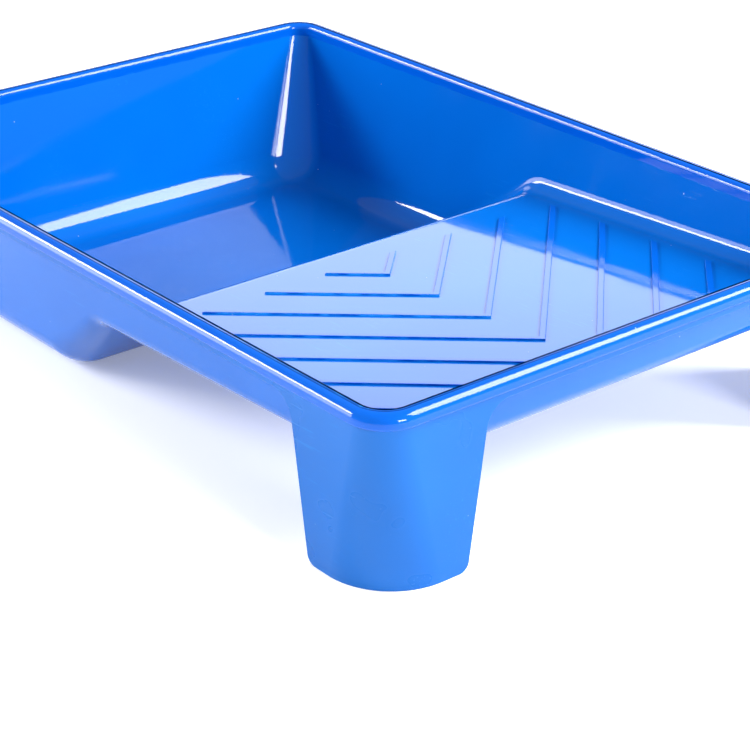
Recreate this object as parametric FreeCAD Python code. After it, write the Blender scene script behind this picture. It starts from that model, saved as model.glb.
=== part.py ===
"""Paint roller tray, moulded in one plastic, drawn as its named regions.

Frame: millimetres, +Z up, origin on the ground under the middle of the tray.
X runs across the tray. Y runs along it: the shallow end and its two legs are
at -Y, the deep paint well at +Y. The well and the legs stand on Z = 0.
"""
import FreeCAD, Part
import math
import os

from FreeCAD import Vector

# Whole tray
OVERALL_LENGTH = 396.0
OVERALL_WIDTH = 274.0
OVERALL_HEIGHT = 77.0
WALL = 2.2                  # basin wall and floor thickness

# Rim bead all round the top
RIM_WIDTH = 8.0
RIM_HEIGHT = 6.3
RIM_CORNER_RADIUS = 16.6
RIM_OUTER_ROUND = 4.2
RIM_INNER_ROUND = 3.2
RIM_UNDER_ROUND = 1.2
RIM_ROOF = 2.4              # plastic above the groove under the rim

# Apron: the narrow skirt below the rim, and the legs that grow out of it
APRON_INSET = 1.8           # step in from the rim's outer face
APRON_WALL = 2.0
APRON_TAPER = 2.7           # lean inwards from rim to ground
APRON_FOOT_RADIUS = 29.7
SKIRT_DEPTH = 3.2

# Legs, measured from the outer face of the rim along each side
LEG_TOP_WIDTH = 53.5
LEG_FOOT_WIDTH = 46.5
LEG_FOOT_ROUND = 4.5
LEG_SKIRT_ROUND = 10.5
LEG_SEAM_MARGIN = 4.0       # skirt length that belongs to the leg

# Basin
WALL_DRAFT = 14.0           # degrees from upright
BASIN_GROUND_RADIUS = 24.0
RAMP_FLOOR_ROUND = 9.0
WELL_FLOOR_ROUND = 18.0

# Ramp and well, positions measured from the shallow end's outer face
RAMP_SLOPE = 2.3            # degrees
LIP_POSITION = 198.3
LIP_HEIGHT = 41.0
LIP_ROUND = 12.0
STEP_ANGLE = 42.0           # degrees from level
STEP_FOOT_ROUND = 22.0

# Chevron ribs on the ramp
RIB_COUNT = 7
RIB_WIDTH = 2.7
RIB_HEIGHT = 0.8
RIB_TOP_ROUND = 0.25
RIB_PITCH = 32.4
RIB_ANGLE = 45.0            # degrees between an arm and the tray's length
RIB_LIP_GAP = 19.6          # bare strip between the arm ends and the lip
RIB_FIRST_APEX = 20.0       # from the arm-end line to the first point
RIB_SIDE_GAP = 1.6          # from the arm ends to the flat floor's side seams
RIB_END_GAP = 3.5           # from the arm ends to the seam at the shallow end

# Seams between the named regions
SEAM_MARGIN = 2.0           # flat floor left on the walls beyond their rounding

# Derived places
SHALLOW_Y = -OVERALL_LENGTH / 2
DEEP_Y = OVERALL_LENGTH / 2
SIDE_X = OVERALL_WIDTH / 2
RIM_BOTTOM = OVERALL_HEIGHT - RIM_HEIGHT
SKIRT_BOTTOM = RIM_BOTTOM - SKIRT_DEPTH
DRAFT = math.tan(math.radians(WALL_DRAFT))
WALL_ACROSS = WALL / math.cos(math.radians(WALL_DRAFT))   # wall measured level
SLOPE = math.tan(math.radians(RAMP_SLOPE))
BASIN_TOP_RADIUS = RIM_CORNER_RADIUS - RIM_WIDTH
APRON_TOP_RADIUS = RIM_CORNER_RADIUS - APRON_INSET
LEG_REACH = LEG_TOP_WIDTH + LEG_SKIRT_ROUND + LEG_SEAM_MARGIN
LIP_Y = SHALLOW_Y + LIP_POSITION
REACH = 2 * (OVERALL_LENGTH + OVERALL_WIDTH)              # past everything


def rounded_rectangle(inset, radius, height):
    """Outline of the tray's plan, moved in by inset, at one height."""
    x = SIDE_X - inset
    y = DEEP_Y - inset
    edges = []
    for turn in range(4):
        angle = math.radians(90 * turn)
        out_x = math.cos(angle) - math.sin(angle)
        out_y = math.sin(angle) + math.cos(angle)
        centre = Vector(out_x * (x - radius), out_y * (y - radius), height)
        points = []
        for step in (0, 45, 90):
            swing = angle + math.radians(step)
            points.append(centre + Vector(radius * math.cos(swing), radius * math.sin(swing), 0))
        if edges:
            edges.append(Part.LineSegment(edges[-1].EndPoint, points[0]))
        edges.append(Part.Arc(*points))
    edges.append(Part.LineSegment(edges[-1].EndPoint, edges[0].StartPoint))
    return Part.Wire([edge.toShape() for edge in edges])


def tapered_block(top, bottom):
    """Solid between two outlines, each given as (inset, radius, height)."""
    wires = [rounded_rectangle(*bottom), rounded_rectangle(*top)]
    return Part.makeLoft(wires, True, True)


def rounded_path(points, radii):
    """Straight runs through the points, with a tangent arc at each inner one."""
    edges = []
    start = points[0]
    for before, corner, after, radius in zip(points, points[1:], points[2:], radii):
        back = (before - corner).normalize()
        ahead = (after - corner).normalize()
        half = back.getAngle(ahead) / 2
        reach = radius / math.tan(half)
        middle = (back + ahead).normalize()
        depth = radius / math.sin(half) - radius
        first = corner + back * reach
        last = corner + ahead * reach
        edges.append(Part.makeLine(start, first))
        edges.append(Part.Arc(first, corner + middle * depth, last).toShape())
        start = last
    edges.append(Part.makeLine(start, points[-1]))
    return edges


def closed_prism(edges, way):
    """Close the open path of edges with a straight run and sweep it along way."""
    first = edges[0].Vertexes[0].Point
    last = edges[-1].Vertexes[1].Point
    wire = Part.Wire(edges + [Part.makeLine(last, first)])
    return Part.Face(wire).extrude(way)


def slab(x0, x1, y0, y1, z0, z1):
    return Part.makeBox(x1 - x0, y1 - y0, z1 - z0, Vector(x0, y0, z0))


def ramp_height(y):
    """Height of the ramp's upper face, carried on past the lip."""
    return LIP_HEIGHT - (y - LIP_Y) * SLOPE


def step_foot_y():
    """Where the step's face would meet the well floor in a sharp corner."""
    drop = LIP_HEIGHT - WALL
    return LIP_Y + drop / math.tan(math.radians(STEP_ANGLE))


def floor_corners(depth):
    """Sharp corners of the floor line, depth below the upper surface."""
    ramp = math.radians(RAMP_SLOPE)
    step = math.radians(STEP_ANGLE)
    lip_shift = depth * math.tan((step - ramp) / 2)
    lip = Vector(0, LIP_Y, LIP_HEIGHT)
    lip += Vector(0, -math.cos(ramp), math.sin(ramp)) * lip_shift
    lip += Vector(0, -math.sin(ramp), -math.cos(ramp)) * depth
    foot = Vector(0, step_foot_y() - depth * math.tan(step / 2), WALL - depth)
    return lip, foot


def above_floor(depth):
    """Everything above the floor line, for the full width."""
    lip, foot = floor_corners(depth)
    ramp = math.radians(RAMP_SLOPE)
    ramp_start = lip + Vector(0, -math.cos(ramp), math.sin(ramp)) * REACH
    well_end = foot + Vector(0, REACH, 0)
    path = rounded_path([ramp_start, lip, foot, well_end], [LIP_ROUND - depth, STEP_FOOT_ROUND + depth])
    top_end = Vector(0, well_end.y, REACH)
    top_start = Vector(0, ramp_start.y, REACH)
    path += [Part.makeLine(well_end, top_end), Part.makeLine(top_end, top_start)]
    prism = closed_prism(path, Vector(REACH, 0, 0))
    prism.translate(Vector(-REACH / 2, 0, 0))
    return prism


def basin_block(depth):
    """The basin's hollow as a solid, grown outwards by depth."""
    across = depth / WALL * WALL_ACROSS
    top = (RIM_WIDTH - across, BASIN_TOP_RADIUS + depth, RIM_BOTTOM)
    low = -WALL
    fall = RIM_BOTTOM - low
    growth = (BASIN_GROUND_RADIUS - BASIN_TOP_RADIUS) / RIM_BOTTOM * fall
    bottom = (top[0] + fall * DRAFT, top[1] + growth, low)
    block = tapered_block(top, bottom).common(above_floor(depth))
    return round_floor_edges(block, depth)


def round_floor_edges(block, depth):
    """Round the edge between walls and floor, wider in the well than on the ramp."""
    lip, foot = floor_corners(depth)
    document = FreeCAD.newDocument()
    base = document.addObject("Part::Feature", "base")
    base.Shape = block
    rounds = []
    for number, edge in enumerate(block.Edges, 1):
        if is_floor_border(block, edge):
            rounds.append((number, round_at(edge.Vertexes[0].Y, lip, foot) + depth,
                           round_at(edge.Vertexes[-1].Y, lip, foot) + depth))
    feature = document.addObject("Part::Fillet", "rounded")
    feature.Base = base
    feature.Edges = rounds
    document.recompute()
    shape = feature.Shape.copy()
    FreeCAD.closeDocument(document.Name)
    return shape


def is_floor_border(block, edge):
    faces = block.ancestorsOfType(edge, Part.Face)
    kinds = sorted(abs(normal_of(face).z) > math.sin(math.radians(2 * WALL_DRAFT)) for face in faces)
    return kinds == [False, True] and edge.BoundBox.ZMax < RIM_BOTTOM - WALL


def normal_of(face):
    u0, u1, v0, v1 = face.ParameterRange
    return face.normalAt((u0 + u1) / 2, (v0 + v1) / 2)


def round_at(y, lip, foot):
    share = min(1.0, max(0.0, (y - lip.y) / (foot.y - lip.y)))
    return RAMP_FLOOR_ROUND + (WELL_FLOOR_ROUND - RAMP_FLOOR_ROUND) * share


def floor_edge_inset(height, floor_round):
    """How far in from the rim's outer face the flat floor starts, with the seam margin."""
    tangent = math.tan(math.radians((90.0 - WALL_DRAFT) / 2))
    return RIM_WIDTH + (RIM_BOTTOM - height) * DRAFT + floor_round * tangent + SEAM_MARGIN


def ramp_edges():
    """Half width of the ramp's flat floor, and where it starts."""
    half_width = SIDE_X - floor_edge_inset(LIP_HEIGHT, RAMP_FLOOR_ROUND)
    start_y = SHALLOW_Y + floor_edge_inset(ramp_height(SHALLOW_Y), RAMP_FLOOR_ROUND)
    return half_width, start_y


def floor_plan():
    """Upright prism over the flat floor: wide on the ramp, narrower in the well."""
    ramp_x, start_y = ramp_edges()
    well_x = SIDE_X - floor_edge_inset(WALL, WELL_FLOOR_ROUND)
    end_y = DEEP_Y - floor_edge_inset(WALL, WELL_FLOOR_ROUND)
    right = [(ramp_x, start_y), (ramp_x, LIP_Y), (well_x, step_foot_y()), (well_x, end_y)]
    outline = right + [(-x, y) for x, y in reversed(right)]
    wire = Part.makePolygon([Vector(x, y, -WALL) for x, y in outline + outline[:1]])
    prism = Part.Face(wire).extrude(Vector(0, 0, OVERALL_HEIGHT))
    return prism, ramp_x, well_x


def make_basin():
    """Floor, step and walls of the one shell, cut apart along flat seams."""
    shell = basin_block(WALL).cut(basin_block(0.0))
    plan, ramp_x, well_x = floor_plan()
    floor = shell.common(plan)
    walls = shell.cut(plan)
    foot_y = step_foot_y()
    shallow_box = slab(-ramp_x, ramp_x, -REACH, LIP_Y, -REACH, REACH)
    deep_box = slab(-well_x, well_x, foot_y, REACH, -REACH, REACH)
    sides = walls.cut(shallow_box).cut(deep_box)
    return {
        "ramp_floor": floor.common(slab(-REACH, REACH, -REACH, LIP_Y, -REACH, REACH)),
        "well_step": floor.common(slab(-REACH, REACH, LIP_Y, foot_y, -REACH, REACH)),
        "well_floor": floor.common(slab(-REACH, REACH, foot_y, REACH, -REACH, REACH)),
        "shallow_end_wall": walls.common(shallow_box),
        "deep_end_wall": walls.common(deep_box),
        "left_wall": sides.common(slab(-REACH, 0, -REACH, REACH, -REACH, REACH)),
        "right_wall": sides.common(slab(0, REACH, -REACH, REACH, -REACH, REACH)),
    }


def level_edges(shape, height, outermost):
    """Edges of a ring at one height, on its outer or its inner outline."""
    edges = [e for e in shape.Edges if abs(e.BoundBox.ZMin - height) + abs(e.BoundBox.ZMax - height) < 1e-6]
    limit = RIM_WIDTH / 2
    inner = slab(-SIDE_X + limit, SIDE_X - limit, SHALLOW_Y + limit, DEEP_Y - limit, -REACH, REACH)
    return [e for e in edges if inner.isInside(e.CenterOfMass, 1e-6, True) != outermost]


def make_rim():
    """Rounded bead with a groove underneath, between the apron and the basin wall."""
    bead = tapered_block(
        (0.0, RIM_CORNER_RADIUS, OVERALL_HEIGHT),
        (0.0, RIM_CORNER_RADIUS, RIM_BOTTOM),
    ).cut(tapered_block(
        (RIM_WIDTH, BASIN_TOP_RADIUS, OVERALL_HEIGHT),
        (RIM_WIDTH, BASIN_TOP_RADIUS, RIM_BOTTOM),
    ))
    bead = bead.makeFillet(RIM_OUTER_ROUND, level_edges(bead, OVERALL_HEIGHT, True))
    bead = bead.makeFillet(RIM_INNER_ROUND, level_edges(bead, OVERALL_HEIGHT, False))
    bead = bead.makeFillet(RIM_UNDER_ROUND, level_edges(bead, RIM_BOTTOM, True))
    roof = OVERALL_HEIGHT - RIM_ROOF
    outer_inset = APRON_INSET + APRON_WALL
    inner_inset = RIM_WIDTH - WALL_ACROSS
    groove = tapered_block(
        (outer_inset, RIM_CORNER_RADIUS - outer_inset, roof),
        (outer_inset, RIM_CORNER_RADIUS - outer_inset, RIM_BOTTOM),
    ).cut(tapered_block(
        (inner_inset, BASIN_TOP_RADIUS + WALL, roof),
        (inner_inset, BASIN_TOP_RADIUS + WALL, RIM_BOTTOM),
    ))
    return bead.cut(groove)


def apron_shell():
    """Thin leaning shell from the rim to the ground, its corners growing rounder."""
    solids = []
    for depth in (0.0, APRON_WALL):
        top = (APRON_INSET + depth, APRON_TOP_RADIUS - depth, RIM_BOTTOM)
        bottom = (APRON_INSET + APRON_TAPER + depth, APRON_FOOT_RADIUS - depth, 0.0)
        solids.append(tapered_block(top, bottom))
    return solids[0].cut(solids[1])


def leg_profile(along, across, corner):
    """Side view of one leg swept across the tray: along points away from corner."""
    up = Vector(0, 0, 1)
    path = rounded_path(
        [
            corner - along * RIM_WIDTH,
            corner + along * LEG_FOOT_WIDTH,
            corner + along * LEG_TOP_WIDTH + up * SKIRT_BOTTOM,
            corner + along * LEG_REACH + up * SKIRT_BOTTOM,
        ],
        [LEG_FOOT_ROUND, LEG_SKIRT_ROUND],
    )
    turn = path[-1].Vertexes[1].Point
    seam_top = Vector(turn.x, turn.y, RIM_BOTTOM)
    back = corner - along * RIM_WIDTH + up * RIM_BOTTOM
    path += [Part.makeLine(turn, seam_top), Part.makeLine(seam_top, back)]
    prism = closed_prism(path, across * REACH)
    prism.translate(across * (-REACH / 2))
    return prism


def make_apron():
    """Two legs at the shallow end, and the skirt that joins them round the tray."""
    shell = apron_shell()
    parts = {}
    for name, side in (("left_leg", -1), ("right_leg", 1)):
        corner = Vector(side * SIDE_X, SHALLOW_Y, 0)
        from_end = leg_profile(Vector(0, 1, 0), Vector(1, 0, 0), corner)
        from_side = leg_profile(Vector(-side, 0, 0), Vector(0, 1, 0), corner)
        parts[name] = shell.common(from_end).common(from_side)
    band = shell.common(slab(-REACH, REACH, -REACH, REACH, SKIRT_BOTTOM, RIM_BOTTOM))
    seam_y = SHALLOW_Y + LEG_REACH
    seam_x = SIDE_X - LEG_REACH
    parts["long_skirt"] = band.common(slab(-REACH, REACH, seam_y, REACH, 0, REACH))
    parts["shallow_end_skirt"] = band.common(slab(-seam_x, seam_x, -REACH, seam_y, 0, REACH))
    return parts


def ramp_layer():
    """The slice of space that the ribs fill, lying on the ramp."""
    lift = RIB_HEIGHT / math.cos(math.radians(RAMP_SLOPE))
    low = SHALLOW_Y
    corners = [
        Vector(0, low, ramp_height(low)),
        Vector(0, LIP_Y, ramp_height(LIP_Y)),
        Vector(0, LIP_Y, ramp_height(LIP_Y) + lift),
        Vector(0, low, ramp_height(low) + lift),
    ]
    face = Part.Face(Part.makePolygon(corners + corners[:1]))
    layer = face.extrude(Vector(2 * SIDE_X, 0, 0))
    layer.translate(Vector(-SIDE_X, 0, 0))
    return layer


def make_ribs():
    """Nested chevrons that point to the shallow end, trimmed to one field."""
    floor_x, floor_start_y = ramp_edges()
    edge_x = floor_x - RIB_SIDE_GAP
    start_y = floor_start_y + RIB_END_GAP
    end_y = LIP_Y - RIB_LIP_GAP
    field = ramp_layer().common(slab(-edge_x, edge_x, start_y, end_y, 0, REACH))
    opening = math.radians(RIB_ANGLE)
    inner_shift = RIB_WIDTH / math.sin(opening)
    ribs = {}
    for number in range(RIB_COUNT):
        apex_y = end_y - RIB_FIRST_APEX - number * RIB_PITCH
        run = OVERALL_WIDTH
        spread = run * math.tan(opening)
        outline = [
            (0, apex_y), (spread, apex_y + run), (spread, apex_y + run + inner_shift),
            (0, apex_y + inner_shift),
            (-spread, apex_y + run + inner_shift), (-spread, apex_y + run),
        ]
        wire = Part.makePolygon([Vector(x, y, 0) for x, y in outline + outline[:1]])
        rib = Part.Face(wire).extrude(Vector(0, 0, OVERALL_HEIGHT)).common(field)
        arms = sorted(rib.Solids, key=lambda arm: arm.CenterOfMass.x)
        names = [""] if len(arms) == 1 else ["_left", "_right"]
        for ending, arm in zip(names, arms):
            ribs["chevron_rib_%d%s" % (number + 1, ending)] = soften_rib(arm)
    return ribs


def soften_rib(arm):
    """Round the rib's upper edges."""
    top = max(arm.Faces, key=lambda face: normal_of(face).z)
    return arm.makeFillet(RIB_TOP_ROUND, top.Edges)


def main():
    parts = {"rim_bead": make_rim()}
    parts.update(make_apron())
    parts.update(make_basin())
    parts.update(make_ribs())
    os.makedirs("parts", exist_ok=True)
    for name, shape in parts.items():
        shape.exportStep("parts/%s.step" % name)
        box = shape.BoundBox
        print("%-22s solids %d valid %s volume %8.0f  x %.1f %.1f  y %.1f %.1f  z %.1f %.1f" % (
            name, len(shape.Solids), shape.isValid(), shape.Volume,
            box.XMin, box.XMax, box.YMin, box.YMax, box.ZMin, box.ZMax))


main()
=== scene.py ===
# %% [markdown]
# # A moulded paint roller tray
# The real tray is one shot of blue polypropylene: a basin with a sloping ramp and a
# deep well, a rounded rim all round, a narrow skirt under the rim and two corner legs.
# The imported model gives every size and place, so it is loaded first, and the looks are
# built around it in the same metres and the same frame.

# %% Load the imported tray
import math

import bmesh
import bpy
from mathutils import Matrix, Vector


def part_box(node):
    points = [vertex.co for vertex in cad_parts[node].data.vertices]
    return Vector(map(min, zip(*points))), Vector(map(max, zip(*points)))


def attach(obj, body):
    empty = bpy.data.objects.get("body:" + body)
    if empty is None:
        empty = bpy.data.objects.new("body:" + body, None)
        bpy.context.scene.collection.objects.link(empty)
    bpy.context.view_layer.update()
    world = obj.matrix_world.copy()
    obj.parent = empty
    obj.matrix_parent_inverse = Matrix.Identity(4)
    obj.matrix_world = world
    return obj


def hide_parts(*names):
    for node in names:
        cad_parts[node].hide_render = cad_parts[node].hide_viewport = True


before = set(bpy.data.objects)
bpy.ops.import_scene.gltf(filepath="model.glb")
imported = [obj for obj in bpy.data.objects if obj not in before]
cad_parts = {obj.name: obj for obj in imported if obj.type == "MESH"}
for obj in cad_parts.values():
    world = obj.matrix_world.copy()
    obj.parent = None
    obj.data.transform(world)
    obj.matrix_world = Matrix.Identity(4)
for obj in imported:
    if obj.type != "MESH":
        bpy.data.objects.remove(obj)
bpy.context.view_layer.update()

# %% [markdown]
# ## Sizes
# A mould maker works from a handful of sizes. Places that can be read from the packed
# pieces are read from them, and the rest are the design's own radii, slopes and widths.
# Writing them as names keeps every later step readable, and nothing has to be measured
# twice.

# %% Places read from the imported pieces
rim_low, rim_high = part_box("rim_bead")
ramp_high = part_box("ramp_floor")[1]
step_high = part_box("well_step")[1]
SIDE_X = rim_high.x
END_Y = rim_high.y
RIM_TOP = rim_high.z
RIM_BOTTOM = rim_low.z
LIP_Y = ramp_high.y
FOOT_Y = step_high.y
print("rim", round(SIDE_X, 4), round(END_Y, 4), round(RIM_BOTTOM, 4), round(RIM_TOP, 4))
print("lip and foot of the step", round(LIP_Y, 4), round(FOOT_Y, 4))

# %% Sizes of the moulding, in metres
MM = 0.001
WALL = 2.2 * MM
RIM_WIDTH = 8.0 * MM
RIM_CORNER_RADIUS = 16.6 * MM
APRON_INSET = 1.8 * MM
APRON_WALL = 2.0 * MM
SKIRT_BOTTOM = 67.5 * MM
DRAFT = math.tan(math.radians(14.0))
BASIN_TOP_RADIUS = RIM_CORNER_RADIUS - RIM_WIDTH
BASIN_GROUND_RADIUS = 24.0 * MM
LIP_HEIGHT = 41.0 * MM
RAMP_SLOPE = math.radians(2.3)
TUCK = 0.6 * MM             # how far a wall runs up into the rim, so no light gets through
CLOSE = 0.02 * MM           # two places nearer than this count as the same place
WELD = 0.001 * MM           # points nearer than this are merged

# %% [markdown]
# ## Working by hand, in code
# Every Blender modelling operator acts on what is selected, just as it does in the
# window. Loading the tray leaves all its pieces selected, so each step here first
# clears the selection, then picks vertices, edges or faces by where they are. Picking
# by place reads like an instruction to a person: the edges at the top, on the outside.

# %% Helpers: choose a piece, enter edit mode, leave it, and pick by place
def choose(piece):
    """Select one piece and nothing else, and make it the active one."""
    bpy.ops.object.select_all(action="DESELECT")
    piece.select_set(True)
    bpy.context.view_layer.objects.active = piece


def edit(piece):
    choose(piece)
    bpy.ops.object.mode_set(mode="EDIT")


def leave():
    bpy.ops.object.mode_set(mode="OBJECT")


def middle(item):
    """Where a vertex, an edge or a face is."""
    if isinstance(item, bmesh.types.BMVert):
        return item.co
    points = [corner.co for corner in item.verts]
    return sum(points, Vector()) / len(points)


def pick(piece, kind, test):
    """Select the vertices, edges or faces that pass the test, and count them."""
    bpy.ops.mesh.select_mode(type=kind)
    bpy.ops.mesh.select_all(action="DESELECT")
    shape = bmesh.from_edit_mesh(piece.data)
    items = {"VERT": shape.verts, "EDGE": shape.edges, "FACE": shape.faces}[kind]
    chosen = [item for item in items if test(item)]
    for item in chosen:
        item.select_set(True)
    shape.select_flush_mode()
    bmesh.update_edit_mesh(piece.data)
    return len(chosen)


def near(a, b):
    return abs(a - b) < CLOSE


def inset_of(point):
    """How far inside the rim's outer outline a point is, seen from above."""
    over_x = abs(point.x) - (SIDE_X - RIM_CORNER_RADIUS)
    over_y = abs(point.y) - (END_Y - RIM_CORNER_RADIUS)
    outside = math.hypot(max(over_x, 0), max(over_y, 0))
    return RIM_CORNER_RADIUS - outside - min(max(over_x, over_y), 0)


# %% Helpers: a rounded plate, modifiers and a smooth finish
def rounded_plate(inset, radius, height, segments):
    """Add the tray's outline to the open mesh as one face, its corners rounded."""
    bpy.ops.mesh.primitive_plane_add(size=2)
    bpy.ops.transform.resize(value=(SIDE_X - inset, END_Y - inset, 1),
                             center_override=(0, 0, 0))
    bpy.ops.transform.translate(value=(0, 0, height))
    bpy.ops.mesh.bevel(offset=radius, segments=segments, profile=0.5, affect="VERTICES")


def empty_piece(name):
    piece = bpy.data.objects.new(name, bpy.data.meshes.new(name))
    bpy.context.scene.collection.objects.link(piece)
    return piece


def modify(piece, kind, **settings):
    """Add a modifier, set it and apply it."""
    choose(piece)
    modifier = piece.modifiers.new(kind.title(), kind)
    for name, value in settings.items():
        setattr(modifier, name, value)
    bpy.ops.object.modifier_apply(modifier=modifier.name)


def smooth(piece, degrees=35):
    """Smooth shading up to a crease angle, led by the large faces."""
    choose(piece)
    bpy.ops.object.shade_smooth_by_angle(angle=math.radians(degrees))
    modify(piece, "WEIGHTED_NORMAL", keep_sharp=True, weight=80)


def turn_outwards():
    """Weld doubles and point every face outwards, in edit mode."""
    bpy.ops.mesh.select_all(action="SELECT")
    bpy.ops.mesh.remove_doubles(threshold=WELD)
    bpy.ops.mesh.normals_make_consistent(inside=False)


def report(piece):
    size = piece.dimensions / MM
    print("%-14s %5d faces, %.1f x %.1f x %.1f mm"
          % (piece.name, len(piece.data.polygons), *size))


# %% [markdown]
# ## The rim bead
# The rim is a bar about as wide as a finger, rounded on top and hollow underneath, and
# it runs round the tray in one piece. A curve with a bevel profile could make it, but
# its corners would swell or pinch. A plate is easier to hold to size: three insets
# mark the outer land, the groove and the inner land, the middle is deleted, the ring is
# extruded up, its edges are bevelled, and the groove is pushed up from below.

# %% Rim: the ring and its height
CORNER_SEGMENTS = 24
GROOVE_START = APRON_INSET + APRON_WALL
GROOVE_END = RIM_WIDTH - WALL / math.cos(math.atan(DRAFT))
GROOVE_DEPTH = 3.9 * MM

rim = empty_piece("rim")
edit(rim)
rounded_plate(0, RIM_CORNER_RADIUS, RIM_BOTTOM, CORNER_SEGMENTS)
for width in (GROOVE_START, GROOVE_END - GROOVE_START, RIM_WIDTH - GROOVE_END):
    bpy.ops.mesh.inset(thickness=width)
bpy.ops.mesh.delete(type="FACE")
bpy.ops.mesh.select_all(action="SELECT")
bpy.ops.mesh.extrude_region_move(
    TRANSFORM_OT_translate={"value": (0, 0, RIM_TOP - RIM_BOTTOM)})
turn_outwards()
print("rim ring", len(bmesh.from_edit_mesh(rim.data).verts), "points")

# %% Rim: rounded edges and the groove
RIM_ROUNDS = (              # height, inset from the outline, radius, segments
    (RIM_TOP, 0, 4.2 * MM, 16),
    (RIM_TOP, RIM_WIDTH, 3.2 * MM, 12),
    (RIM_BOTTOM, 0, 1.2 * MM, 5),
)
for height, inset, radius, segments in RIM_ROUNDS:
    count = pick(rim, "EDGE", lambda edge: all(
        near(corner.co.z, height) and near(inset_of(corner.co), inset)
        for corner in edge.verts))
    bpy.ops.mesh.bevel(offset=radius, segments=segments, profile=0.5, affect="EDGES")
    print("rounded", count, "edges by", round(radius / MM, 1), "mm")
pick(rim, "FACE", lambda face: near(middle(face).z, RIM_BOTTOM)
     and GROOVE_START < inset_of(middle(face)) < GROOVE_END)
bpy.ops.mesh.extrude_region_move(TRANSFORM_OT_translate={"value": (0, 0, GROOVE_DEPTH)})
turn_outwards()
leave()
smooth(rim)
report(rim)

# %% [markdown]
# ## The skirt and the legs
# Under the rim hangs a skirt a few millimetres deep, and at the shallow end it grows
# into two corner legs, open at the back, that lean in slightly and get rounder towards
# the ground. On the real tray this is one thin wall. So the whole wall is made first,
# by bridging the outline under the rim to the smaller, rounder outline on the ground,
# then the slanting leg edges are cut with bisect, what isn't leg or skirt is deleted,
# and the corners of the cut are rounded as a toolmaker would.

# %% Apron: one wall from the rim to the ground
APRON_TAPER = 2.7 * MM
APRON_TOP_RADIUS = RIM_CORNER_RADIUS - APRON_INSET
APRON_FOOT_RADIUS = 29.7 * MM

apron = empty_piece("skirt_and_legs")
edit(apron)
rounded_plate(APRON_INSET, APRON_TOP_RADIUS, RIM_BOTTOM + TUCK, CORNER_SEGMENTS)
bpy.ops.mesh.delete(type="ONLY_FACE")
rounded_plate(APRON_INSET + APRON_TAPER, APRON_FOOT_RADIUS, 0, CORNER_SEGMENTS)
bpy.ops.mesh.delete(type="ONLY_FACE")
bpy.ops.mesh.select_mode(type="EDGE")
bpy.ops.mesh.select_all(action="SELECT")
bpy.ops.mesh.bridge_edge_loops()
turn_outwards()

# %% Apron: cut out the legs
LEG_TOP_WIDTH = 53.5 * MM
LEG_FOOT_WIDTH = 46.5 * MM
LEG_LEAN = (LEG_TOP_WIDTH - LEG_FOOT_WIDTH) / SKIRT_BOTTOM


def cut(point, normal):
    bpy.ops.mesh.select_all(action="SELECT")
    bpy.ops.mesh.bisect(plane_co=point, plane_no=normal, threshold=WELD)


def is_leg(point):
    reach = LEG_FOOT_WIDTH + LEG_LEAN * point.z
    return point.y + END_Y < reach and SIDE_X - abs(point.x) < reach


def is_waste(face):
    return middle(face).z < SKIRT_BOTTOM and not is_leg(middle(face))


cut((0, 0, SKIRT_BOTTOM), (0, 0, 1))
cut((0, LEG_FOOT_WIDTH - END_Y, 0), (0, 1, -LEG_LEAN))
for side in (-1, 1):
    cut((side * (SIDE_X - LEG_FOOT_WIDTH), 0, 0), (side, 0, LEG_LEAN))
removed = pick(apron, "FACE", is_waste)
bpy.ops.mesh.delete(type="FACE")
bpy.ops.mesh.select_all(action="SELECT")
bpy.ops.mesh.dissolve_limited(angle_limit=math.radians(0.5))
print("removed", removed, "faces between the legs")

# %% Apron: round the corners of the cut
LEG_SKIRT_ROUND = 10.5 * MM
LEG_FOOT_ROUND = 4.5 * MM
CUT_SLACK = 0.1 * MM        # how far a corner may be from where the cuts should cross
HALF_CORNER = (math.pi / 2 + math.atan(LEG_LEAN)) / 2


def is_cut_corner(vertex, height, width):
    from_end = abs(vertex.co.y + END_Y - width)
    from_side = abs(SIDE_X - abs(vertex.co.x) - width)
    return near(vertex.co.z, height) and min(from_end, from_side) < CUT_SLACK


for height, width, radius, segments in (
    (SKIRT_BOTTOM, LEG_TOP_WIDTH, LEG_SKIRT_ROUND, 14),
    (0, LEG_FOOT_WIDTH, LEG_FOOT_ROUND, 8),
):
    count = pick(apron, "VERT", lambda vertex: is_cut_corner(vertex, height, width))
    bpy.ops.mesh.bevel(offset=radius / math.tan(HALF_CORNER), segments=segments,
                       profile=0.5, affect="VERTICES")
    print("rounded", count, "corners by", round(radius / MM, 1), "mm")
turn_outwards()
leave()

# %% Apron: thickness and softened edges
APRON_EDGE_ROUND = 0.45 * MM
APRON_EDGE_ANGLE = math.radians(40)

modify(apron, "SOLIDIFY", thickness=APRON_WALL, offset=-1, use_even_offset=True,
       use_quality_normals=True)
modify(apron, "BEVEL", width=APRON_EDGE_ROUND, segments=3, limit_method="ANGLE",
       angle_limit=APRON_EDGE_ANGLE)
smooth(apron)
report(apron)

# %% [markdown]
# ## The basin
# Walls, ramp, step and well floor are one skin with no seams, and the light on it
# depends on how it blends: the rounding between wall and floor is tight on the ramp and
# twice as wide in the well, and the corners open out towards the ground. A bevel keeps
# one width from end to end, so it can't make that. Instead a grid is wrapped round the
# basin, one column for each place on the wall. A ball that touches wall and floor gives
# each column its curve, as a ball-nosed cutter would leave it in the steel.

# %% Basin: the line of the floor, seen from the side
LIP_ROUND = 12.0 * MM
FOOT_ROUND = 22.0 * MM
LIP_STEPS = 12
FOOT_STEPS = 16
RUN = 0.1                   # length of the straight runs before and after the step


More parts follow.
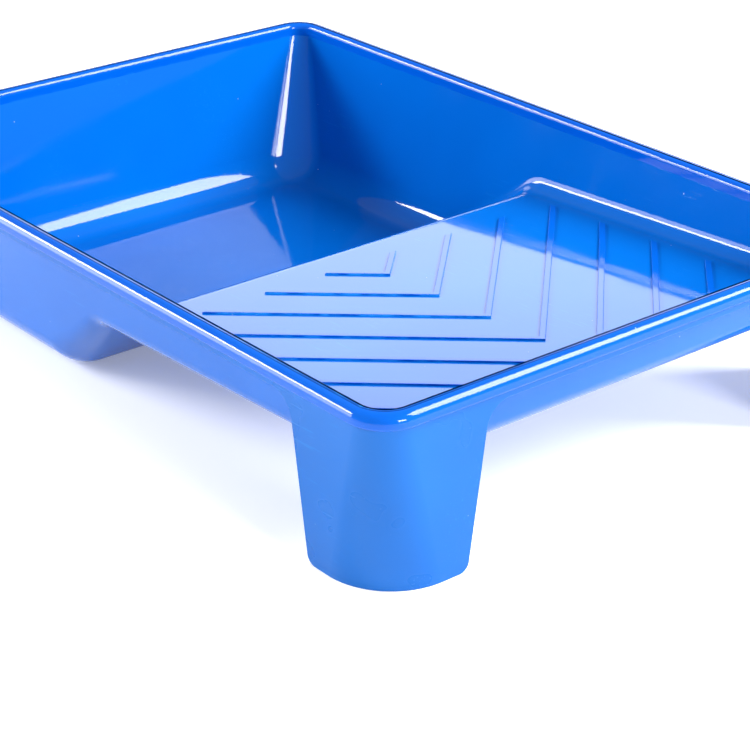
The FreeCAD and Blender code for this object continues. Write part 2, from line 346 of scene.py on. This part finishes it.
def line_with_rounds(points, radii, steps):
    """Points and headings along straight runs joined by arcs, in one side view."""
    made = []
    bends = zip(points, points[1:], points[2:], radii, steps)
    for before, corner, after, radius, count in bends:
        first = math.atan2(corner[1] - before[1], corner[0] - before[0])
        last = math.atan2(after[1] - corner[1], after[0] - corner[0])
        reach = radius * math.tan(abs(last - first) / 2)
        start = Vector(corner) - Vector((math.cos(first), math.sin(first))) * reach
        bend = 1 if last > first else -1
        centre = start + Vector((-math.sin(first), math.cos(first))) * radius * bend
        for step in range(count + 1):
            heading = first + (last - first) * step / count
            out = Vector((math.sin(heading), -math.cos(heading))) * radius * bend
            made.append((centre + out, heading))
    return made


corners = [
    (LIP_Y - RUN, LIP_HEIGHT + RUN * math.tan(RAMP_SLOPE)),
    (LIP_Y, LIP_HEIGHT),
    (FOOT_Y, WALL),
    (FOOT_Y + RUN, WALL),
]
step_line = line_with_rounds(corners, (LIP_ROUND, FOOT_ROUND), (LIP_STEPS, FOOT_STEPS))
print("floor line has", len(step_line), "points on its two bends")

# %% Basin: where the side columns stand
RAMP_FLOOR_ROUND = 9.0 * MM
WELL_FLOOR_ROUND = 18.0 * MM
RAMP_START = -163 * MM
WELL_END = 146 * MM
RAMP_STEPS, STEP_STEPS, WELL_STEPS = 6, 8, 4


def between(a, b, count):
    """Evenly spaced points strictly between two (place, heading) pairs."""
    return [(a[0].lerp(b[0], step / count), a[1]) for step in range(1, count)]


lip_bend, foot_bend = step_line[:LIP_STEPS + 1], step_line[LIP_STEPS + 1:]
ramp_rise = (LIP_Y - RAMP_START) * math.tan(RAMP_SLOPE)
ramp_start = (Vector((RAMP_START, LIP_HEIGHT + ramp_rise)), -RAMP_SLOPE)
well_end = (Vector((WELL_END, WALL)), 0.0)
floor_line = [ramp_start] + between(ramp_start, lip_bend[0], RAMP_STEPS) + lip_bend
floor_line += between(lip_bend[-1], foot_bend[0], STEP_STEPS) + foot_bend
floor_line += between(foot_bend[-1], well_end, WELL_STEPS) + [well_end]
print("side columns", len(floor_line))


# %% Basin: the wall's own lines
def wall_inset(height):
    return RIM_WIDTH + (RIM_BOTTOM - height) * DRAFT


def corner_radius(height):
    growth = (BASIN_GROUND_RADIUS - BASIN_TOP_RADIUS) / RIM_BOTTOM
    return BASIN_TOP_RADIUS + (RIM_BOTTOM - height) * growth


def blend_radius(y):
    """Radius between wall and floor: it grows smoothly down the step."""
    share = min(1, max(0, (y - LIP_Y) / (FOOT_Y - LIP_Y)))
    growth = WELL_FLOOR_ROUND - RAMP_FLOOR_ROUND
    return RAMP_FLOOR_ROUND + growth * share * share * (3 - 2 * share)


def corner_line(side_x, side_y, angle, height):
    """A point on a basin corner, where the wall faces the given angle."""
    radius = corner_radius(height)
    inset = wall_inset(height) + radius
    return Vector((side_x * (SIDE_X - inset + radius * math.cos(angle)),
                   side_y * (END_Y - inset + radius * math.sin(angle)), height))


def end_line(side_y, x, height):
    return Vector((x, side_y * (END_Y - wall_inset(height)), height))


# %% Basin: one column of points, from the rim down and onto the floor
WALL_RINGS = 3
BLEND_RINGS = 12
TUCK_SHRINK = 0.9997        # the ring hidden in the rim is scaled to this share
TUCK_LEAN = 0.1 * MM        # and then moved outwards by this much


def column(line, wall_normal, floor_normal, centre, radius, contact_height):
    """Points down the wall, then round the ball from wall to floor."""
    top = line(RIM_BOTTOM)
    points = [Vector((top.x * TUCK_SHRINK + wall_normal.x * TUCK_LEAN,
                      top.y * TUCK_SHRINK + wall_normal.y * TUCK_LEAN, RIM_BOTTOM + TUCK))]
    for ring in range(WALL_RINGS + 1):
        share = ring / WALL_RINGS
        points.append(line(RIM_BOTTOM + (contact_height - RIM_BOTTOM) * share))
    for ring in range(1, BLEND_RINGS + 1):
        points.append(centre + wall_normal.slerp(-floor_normal, ring / BLEND_RINGS) * radius)
    return points


def end_column(line, out, floor_point, floor_normal, radius):
    """A column whose floor is flat: the ball's height follows from touching both."""
    rise = 10 * MM          # any rise will do, because the wall's line is straight
    lean = math.atan((line(RIM_BOTTOM) - line(RIM_BOTTOM - rise)).dot(out) / rise)
    wall_normal = Vector((out.x * math.cos(lean), out.y * math.cos(lean), -math.sin(lean)))

    def gap(height):
        return (line(height) - wall_normal * radius - floor_point).dot(floor_normal) - radius

    high, low = gap(RIM_BOTTOM), gap(0)
    contact = -low / (high - low) * RIM_BOTTOM
    centre = line(contact) - wall_normal * radius
    return column(line, wall_normal, floor_normal, centre, radius, contact)


def side_column(side, place, heading):
    """A column on a long side, where the ball rolls along the floor line."""
    radius = blend_radius(place.x)
    floor_normal = Vector((0, -math.sin(heading), math.cos(heading)))
    centre_y = place.x + floor_normal.y * radius
    centre_z = place.y + floor_normal.z * radius
    lean = math.atan(DRAFT)
    contact = centre_z - radius * math.sin(lean)
    wall_normal = Vector((side * math.cos(lean), 0, -math.sin(lean)))
    reach = SIDE_X - wall_inset(contact) - radius * math.cos(lean)
    centre = Vector((side * reach, centre_y, centre_z))

    def line(height):
        return Vector((side * (SIDE_X - wall_inset(height)), centre_y, height))

    return column(line, wall_normal, floor_normal, centre, radius, contact)


# %% Basin: all the columns in order round the tray
END_COLUMNS = 7
END_SHARE = 0.97            # the end columns stop a little short of the corners
RAMP_NORMAL = Vector((0, math.sin(RAMP_SLOPE), math.cos(RAMP_SLOPE)))
ends = {
    1: (Vector((0, FOOT_Y, WALL)), Vector((0, 0, 1)), WELL_FLOOR_ROUND),
    -1: (Vector((0, LIP_Y, LIP_HEIGHT)), RAMP_NORMAL, RAMP_FLOOR_ROUND),
}


def corner_columns(side_x, side_y):
    made = []
    for step in range(CORNER_SEGMENTS + 1):
        angle = math.pi / 2 * step / CORNER_SEGMENTS
        out = Vector((side_x * math.cos(angle), side_y * math.sin(angle), 0))
        made.append(end_column(lambda height: corner_line(side_x, side_y, angle, height),
                               out, *ends[side_y]))
    return made


def end_columns(side_y):
    reach = SIDE_X - wall_inset(0) - BASIN_GROUND_RADIUS
    made = []
    for step in range(END_COLUMNS):
        x = reach * (1 - 2 * step / (END_COLUMNS - 1)) * END_SHARE
        made.append(end_column(lambda height: end_line(side_y, x, height),
                               Vector((0, side_y, 0)), *ends[side_y]))
    return made


right = [side_column(1, *spot) for spot in floor_line]
left = [side_column(-1, *spot) for spot in floor_line]
deep = corner_columns(1, 1) + end_columns(1) + corner_columns(-1, 1)[::-1]
shallow = corner_columns(-1, -1) + end_columns(-1)[::-1] + corner_columns(1, -1)[::-1]
columns = right + deep + left[::-1] + shallow
columns.append(columns[0])
print("columns round the basin", len(columns) - 1, "rings", len(columns[0]))

# %% Basin: wrap the grid, then close the floor
basin = empty_piece("basin")
edit(basin)
bpy.ops.mesh.primitive_grid_add(x_subdivisions=len(columns[0]) - 1,
                                y_subdivisions=len(columns) - 1, size=1)
leave()
flat = [number for points in columns for point in points for number in point]
basin.data.vertices.foreach_set("co", flat)
basin.data.update()
edit(basin)
bpy.ops.mesh.select_all(action="SELECT")
bpy.ops.mesh.remove_doubles(threshold=WELD)
bpy.ops.mesh.normals_make_consistent(inside=True)


BELOW_RIM = 5 * MM          # tells the floor's open border from the one under the rim
side_start = right[0][-1].y - CLOSE / 2
side_stop = right[-1][-1].y + CLOSE / 2


def is_floor_border(edge):
    return edge.is_boundary and middle(edge).z < RIM_BOTTOM - BELOW_RIM


def is_side_border(edge):
    return is_floor_border(edge) and all(
        side_start < corner.co.y < side_stop for corner in edge.verts)


pick(basin, "EDGE", is_side_border)
bpy.ops.mesh.bridge_edge_loops()
for shallow_end in (True, False):
    pick(basin, "EDGE", lambda edge: is_floor_border(edge)
         and (middle(edge).y < LIP_Y) == shallow_end)
    bpy.ops.mesh.edge_face_add()
print("open edges on the floor", pick(basin, "EDGE", is_floor_border))

# %% Basin: faces up, then the wall's thickness
bpy.ops.mesh.select_all(action="SELECT")
bpy.ops.mesh.normals_make_consistent(inside=True)
widest = max(bmesh.from_edit_mesh(basin.data).faces, key=lambda face: face.calc_area())
if widest.normal.z < 0:
    bpy.ops.mesh.flip_normals()
print("widest floor face", round(widest.calc_area() / MM / MM), "mm2, facing up",
      widest.normal.z > 0)
leave()
modify(basin, "SOLIDIFY", thickness=WALL, offset=-1, use_even_offset=True,
       use_quality_normals=True)
smooth(basin)
report(basin)

# %% [markdown]
# ## The chevron ribs
# Low ribs on the ramp squeeze the extra paint out of the roller. They are all the same
# bar laid at 45 degrees and trimmed to one field, so one blank is modelled and copied.
# Bisect trims each copy, its top edges get a small bevel, Mirror makes the second arm,
# and the finished rib is tilted onto the ramp. Where the field's end cuts off the point,
# the two arms stay separate pieces, and the left one is the right one turned over.

# %% Ribs: the blank bar
RIB_WIDTH = 2.7 * MM
RIB_HEIGHT = 0.8 * MM
RIB_SINK = 0.4 * MM         # how far a rib reaches down into the ramp
RIB_SOFT = 0.25 * MM
RIB_PITCH = 32.4 * MM
RIB_LIP_GAP = 19.6 * MM
RIB_FIRST_APEX = 20.0 * MM
RIB_COUNT = 7
RIB_ANGLE = math.radians(45)
RIB_CREASE = 30             # degrees: sharper edges than this stay crisp

rib_names = [name for name in sorted(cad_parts) if name.startswith("chevron_rib")]
rib_boxes = [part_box(name) for name in rib_names]
field_start = min(low.y for low, high in rib_boxes)
field_stop = max(high.y for low, high in rib_boxes)
field_side = max(high.x for low, high in rib_boxes)
print("rib field", [round(v / MM, 1) for v in (field_start, field_stop, field_side)])

bar = empty_piece("rib_blank")
edit(bar)
bpy.ops.mesh.primitive_cube_add(size=1)
bpy.ops.transform.resize(value=(3 * SIDE_X, RIB_WIDTH, RIB_HEIGHT + RIB_SINK),
                         center_override=(0, 0, 0))
bpy.ops.transform.translate(value=(0, 0, (RIB_HEIGHT - RIB_SINK) / 2))
bpy.ops.transform.rotate(value=-RIB_ANGLE, orient_axis="Z", center_override=(0, 0, 0))
leave()
report(bar)


# %% Ribs: trim, soften, mirror and tilt one copy
def trim(point, outwards, fill=True):
    """Cut off what lies beyond a plane."""
    bpy.ops.mesh.select_all(action="SELECT")
    bpy.ops.mesh.bisect(plane_co=point, plane_no=outwards, use_fill=fill, clear_outer=True,
                        threshold=WELD)


def make_rib(name, apex_y, whole):
    rib = bar.copy()
    rib.data = bar.data.copy()
    rib.name = rib.data.name = name
    bpy.context.scene.collection.objects.link(rib)
    edit(rib)
    bpy.ops.mesh.select_all(action="SELECT")
    front = apex_y + RIB_WIDTH / 2 / math.sin(RIB_ANGLE)
    bpy.ops.transform.translate(value=(0, front, 0))
    trim((0, 0, 0), (-1, 0, 0), fill=not whole)
    trim((field_side, 0, 0), (1, 0, 0))
    trim((0, field_stop, 0), (0, 1, 0))
    trim((0, field_start, 0), (0, -1, 0))
    pick(rib, "EDGE", lambda edge: all(near(corner.co.z, RIB_HEIGHT) for corner in edge.verts)
         and not edge.is_boundary)
    bpy.ops.mesh.bevel(offset=RIB_SOFT, segments=4, profile=0.5, affect="EDGES")
    leave()
    return rib


def finish_rib(rib):
    """Lay the rib on the ramp and shade it."""
    edit(rib)
    turn_outwards()
    bpy.ops.transform.translate(value=(0, 0, LIP_HEIGHT))
    bpy.ops.transform.rotate(value=RAMP_SLOPE, orient_axis="X",
                             center_override=(0, LIP_Y, LIP_HEIGHT))
    leave()
    smooth(rib, RIB_CREASE)


# %% Ribs: all of them
ribs = {}
for number in range(1, RIB_COUNT + 1):
    apex_y = LIP_Y - RIB_LIP_GAP - RIB_FIRST_APEX - (number - 1) * RIB_PITCH
    node = "chevron_rib_%d" % number
    if node in rib_names:
        rib = make_rib("rib_%d" % number, apex_y, True)
        modify(rib, "MIRROR", use_axis=(True, False, False), use_clip=True,
               merge_threshold=CLOSE / 2)
        ribs[node] = rib
        continue
    for side in ("right", "left"):
        rib = make_rib("rib_%d_%s" % (number, side), apex_y, False)
        if side == "left":
            edit(rib)
            bpy.ops.mesh.select_all(action="SELECT")
            bpy.ops.transform.resize(value=(-1, 1, 1), center_override=(0, 0, 0))
            leave()
        ribs["%s_%s" % (node, side)] = rib
for rib in ribs.values():
    finish_rib(rib)
    report(rib)
bpy.data.objects.remove(bar)

# %% [markdown]
# ## The plastic
# Polypropylene is glossy but never a perfect mirror: it has a faint ripple from the
# mould, hair-fine scuffs where it was stacked and a little dust. Its edges are painted
# paler as a highlight, in place of light caught on them and shining through the thin wall.
# A material in Blender is a network of nodes, and shader maths is easier to
# read as sums than as boxes, so a small class lets ordinary + - * / add the Math nodes.

# %% Node helpers: one class for a wire, one for a material
class Wire:
    """An output socket. Arithmetic on it adds a Math node and gives the new output."""

    def __init__(self, finish, socket):
        self.finish = finish
        self.socket = socket

    def math(self, operation, first, second):
        return self.finish.add("ShaderNodeMath", {"operation": operation}, {0: first, 1: second})

    def __add__(self, other):
        return self.math("ADD", self, other)

    def __radd__(self, other):
        return self.math("ADD", other, self)

    def __sub__(self, other):
        return self.math("SUBTRACT", self, other)

    def __rsub__(self, other):
        return self.math("SUBTRACT", other, self)

    def __mul__(self, other):
        return self.math("MULTIPLY", self, other)

    def __rmul__(self, other):
        return self.math("MULTIPLY", other, self)

    def __pow__(self, other):
        return self.math("POWER", self, other)


class Finish:
    """A material under construction."""

    def __init__(self, name):
        self.material = bpy.data.materials.new(name)
        self.material.use_nodes = True
        self.tree = self.material.node_tree
        self.tree.nodes.clear()

    def add(self, kind, settings=None, sockets=None, output=0):
        """Add a node: its settings first, then values or wires on its sockets."""
        node = self.tree.nodes.new(kind)
        for name, value in (settings or {}).items():
            if name == "stops":
                for stop, (place, grey) in zip(node.color_ramp.elements, value):
                    stop.position, stop.color = place, (grey, grey, grey, 1)
            else:
                setattr(node, name, value)
        for name, value in (sockets or {}).items():
            if isinstance(value, Wire):
                self.tree.links.new(value.socket, node.inputs[name])
            else:
                node.inputs[name].default_value = value
        return Wire(self, node.outputs[output]) if len(node.outputs) else node

    def noise(self, where, scale, detail=2.0, roughness=0.5):
        return self.add("ShaderNodeTexNoise", {}, {
            "Vector": where, "Scale": scale, "Detail": detail, "Roughness": roughness})

    def window(self, wire, low, high):
        """0 below low, 1 above high and smooth in between."""
        return self.add("ShaderNodeMapRange", {"interpolation_type": "SMOOTHSTEP"},
                        {"Value": wire, "From Min": low, "From Max": high})

    def mix(self, share, first, second):
        return self.add("ShaderNodeMix", {"data_type": "RGBA"},
                        {0: share, 6: first, 7: second}, 2)


# %% Colours of the plastic, in linear red, green and blue
GLOSSY_BLUES = ((0.0001, 0.078, 0.44, 1), (0.0002, 0.090, 0.49, 1))
BASIN_BLUES = ((0.0002, 0.094, 0.42, 1), (0.0003, 0.110, 0.47, 1))
SATIN_BLUES = ((0.0003, 0.088, 0.36, 1), (0.0006, 0.106, 0.41, 1))
# paler blue for the real scuffs, and also the painted highlight on the edges, standing in for
# light caught on them and shining through the thin wall
SCUFF_AND_EDGE_HIGHLIGHT_BLUE = (0.030, 0.420, 0.900, 1)
DUST_GREY = (0.55, 0.68, 0.80, 1)

# %% How fine each pattern is: a larger number makes a finer pattern
CLOUD_SCALE = 9.0           # slow drift between the two blues
SWIRL_SCALE = 38.0          # patches of slightly duller skin
HAIR_SCALE = 900.0          # hair-fine scuffs
SCUFF_SCALE = 22.0          # the places where scuffs gather
SPECK_SCALE = 230.0         # specks of dust
SPECK_PATCH_SCALE = 60.0    # the places where dust gathers
EDGE_HIGHLIGHT_BREAK_SCALE = 120.0          # breaks in the painted edge highlight
RIPPLE_SCALE = 16.0         # the mould's slow ripple
SKIN_SCALE = 420.0          # the fine skin
HAIR_TURN = 0.7             # direction of the scuffs, in radians
HAIR_STRETCH = 0.07         # the smaller, the longer the hairs


# %% The blue plastic itself
def blue_plastic(name, blues, gloss, shine, ripple, scuffs, dust):
    """Blue plastic. Each piece gets its own blues, roughness, shine, ripple, scuffs and dust,
    and every piece gets the painted edge highlight.
    """
    made = Finish(name)
    where = made.add("ShaderNodeTexCoord", output=3)
    along = made.add("ShaderNodeMapping", {}, {
        "Vector": where, "Rotation": (0, 0, HAIR_TURN), "Scale": (1.0, HAIR_STRETCH, 1.0)})

    hairs = made.window(made.noise(along, HAIR_SCALE), 0.62, 0.70)
    scratch = hairs * made.window(made.noise(where, SCUFF_SCALE, 3.0), 0.48, 0.66) * scuffs
    cells = made.add("ShaderNodeTexVoronoi", {}, {"Vector": where, "Scale": SPECK_SCALE})
    dusty = made.window(made.noise(where, SPECK_PATCH_SCALE), 0.62, 0.68)
    speck = (1 - made.window(cells, 0.04, 0.09)) * dusty * dust
    # painted highlight: convex edges, found by pointiness, are lightened towards the pale blue
    # in place of light caught on them and shining through the thin wall
    edges = made.window(made.add("ShaderNodeNewGeometry", output=7), 0.56, 0.70)
    edge_highlight = edges * made.window(made.noise(where, EDGE_HIGHLIGHT_BREAK_SCALE, 3.0), 0.35, 0.65)

    cloud = made.window(made.noise(where, CLOUD_SCALE, 3.0), 0.3, 0.7)
    colour = made.mix(cloud, *blues)
    # scuffs lighten the blue a little; the edges lighten it much more, as a painted highlight
    colour = made.mix(scratch * 0.15 + edge_highlight * 0.70, colour, SCUFF_AND_EDGE_HIGHLIGHT_BLUE)
    colour = made.mix(speck, colour, DUST_GREY)
    swirl = made.window(made.noise(where, SWIRL_SCALE), 0.3, 0.7)
    rough = gloss + swirl * 0.03 + scratch * 0.15 + speck * 0.4 + edge_highlight * 0.05
    flow = made.noise(where, RIPPLE_SCALE, 1.0)
    skin = made.noise(where, SKIN_SCALE)
    height = flow * ripple + skin * 0.004 + scratch * -0.01 + speck * 0.1
    bump = made.add("ShaderNodeBump", {}, {"Height": height, "Strength": 1.0, "Distance": MM})
    shader = made.add("ShaderNodeBsdfPrincipled", {}, {
        "Base Color": colour, "Roughness": rough, "Normal": bump, "IOR": 1.5,
        "Specular IOR Level": shine})
    made.add("ShaderNodeOutputMaterial", {}, {"Surface": shader})
    return made.material


# %% One finish for each kind of surface
FINISHES = {                # material name, blues, gloss, shine, ripple, scuffs, dust
    "rim": ("rim_plastic", GLOSSY_BLUES, 0.05, 0.26, 0.06, 0.4, 0.8),
    "apron": ("leg_plastic", SATIN_BLUES, 0.27, 0.24, 0.20, 0.5, 0.5),
    "basin": ("basin_plastic", BASIN_BLUES, 0.045, 0.25, 0.20, 0.4, 0.4),
    "ribs": ("rib_plastic", GLOSSY_BLUES, 0.06, 0.25, 0.15, 0.4, 0.0),
}
finishes = {surface: blue_plastic(*values) for surface, values in FINISHES.items()}
print("finishes", sorted(finishes))

# %% [markdown]
# ## Dress the imported tray
# Each new piece takes the place of the imported pieces it stands for, rides on the same
# body and gets its blue plastic finish, so the tray stays one tray in any scene.


def dress(piece, material, nodes):
    piece.data.materials.clear()
    piece.data.materials.append(material)
    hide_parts(*nodes)
    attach(piece, "root")


dress(rim, finishes["rim"], ["rim_bead"])
dress(apron, finishes["apron"], ["left_leg", "right_leg", "long_skirt", "shallow_end_skirt"])
dress(basin, finishes["basin"], ["ramp_floor", "well_step", "well_floor", "shallow_end_wall",
                                 "deep_end_wall", "left_wall", "right_wall"])
for node, rib in ribs.items():
    dress(rib, finishes["ribs"], [node])

# %% [markdown]
# ## The studio
# A tray like this is usually shown on white with soft light. Each light panel has one
# job: the wide one behind the deep end is mirrored in the ramp, the bright one at the
# front right draws the highlight along the short side of the rim, the thin strip at the
# back left draws the one along the long side, a small one makes the glint on the corner,
# and a low one at the left lights the long wall. The floor is white paper that glows a
# little by itself, so the ground stays bright under the tray.

# %% Floor
PAPER_SHADES = ((0.90, 0.90, 0.90, 1), (0.93, 0.93, 0.93, 1))
PAPER_GRAIN = 60.0
PAPER_GLOW = 0.25
FLOOR_SIZE = 14

bpy.ops.object.select_all(action="DESELECT")
bpy.ops.mesh.primitive_plane_add(size=FLOOR_SIZE, location=(0, 0, 0))
floor = bpy.context.object
floor.name = "studio_floor"
paper = Finish("white_paper")
grain = paper.noise(paper.add("ShaderNodeTexCoord", output=3), PAPER_GRAIN)
paper.add("ShaderNodeOutputMaterial", {}, {"Surface": paper.add(
    "ShaderNodeBsdfPrincipled", {}, {
        "Base Color": paper.mix(grain, *PAPER_SHADES), "Roughness": 0.9,
        "Specular IOR Level": 0.1, "Emission Color": (1, 1, 1, 1),
        "Emission Strength": PAPER_GLOW})})
floor.data.materials.append(paper.material)
print("floor", floor.name, FLOOR_SIZE, "m")

# %% Light panels
VIEW_SIDE = math.radians(39.32)
ahead = Vector((math.sin(VIEW_SIDE), math.cos(VIEW_SIDE), 0))
across = Vector((math.cos(VIEW_SIDE), -math.sin(VIEW_SIDE), 0))
UP = Vector((0, 0, 1))


def panel(name, place, aim, width, height, glow):
    """A soft light panel. Glow is how bright its face looks, with white paper near 1."""
    lamp = bpy.data.lights.new(name, "AREA")
    lamp.shape = "RECTANGLE"
    lamp.size, lamp.size_y = width, height
    lamp.energy = glow * math.pi * width * height
    holder = bpy.data.objects.new(name, lamp)
    bpy.context.scene.collection.objects.link(holder)
    holder.location = place
    holder.rotation_euler = (Vector(aim) - Vector(place)).to_track_quat("-Z", "Y").to_euler()
    print("panel", name, round(lamp.energy), "W")


# name, place, aim, width, height, glow
panel("back_panel", ahead * 3.0 + UP * 0.75, (0, 0, 0.05), 6.0, 1.5, 3.3)
panel("key_panel", (1.27, -1.11, 1.45), (0, 0, 0), 0.9, 1.1, 28.0)
panel("corner_panel", (0.0, -2.1, 0.85), (0, 0, 0), 0.7, 0.45, 40.0)
panel("rim_strip", (-1.29, 1.61, 0.99), (0, 0, 0), 1.2, 0.30, 42.0)
panel("left_panel", across * -2.2 + ahead * 0.4 + UP * 0.4, (0, 0, 0.03), 1.6, 0.8, 10.0)

# %% The room's own light
ROOM_LIGHT = 0.4

world = bpy.data.worlds.new("soft_room")
bpy.context.scene.world = world
world.use_nodes = True
background = world.node_tree.nodes["Background"]
background.inputs["Color"].default_value = (1, 1, 1, 1)
background.inputs["Strength"].default_value = ROOM_LIGHT
print("room light", ROOM_LIGHT)

# %% [markdown]
# ## The camera
# A long lens, a little above the tray and looking along the shallow end's corner, shows
# one leg close up and the ramp running away behind it.

# %% Camera
VIEW_DOWN = math.radians(25.71)

lens = bpy.data.cameras.new("camera")
lens.lens = 108.0
lens.sensor_width = 36.0
camera = bpy.data.objects.new("camera", lens)
bpy.context.scene.collection.objects.link(camera)
camera.location = (-0.5695, -0.7242, 0.4240)
camera.rotation_euler = (math.pi / 2 - VIEW_DOWN, 0, -VIEW_SIDE)
bpy.context.scene.camera = camera
bpy.context.scene.view_settings.view_transform = "Standard"
print("camera", tuple(round(v, 3) for v in camera.location))
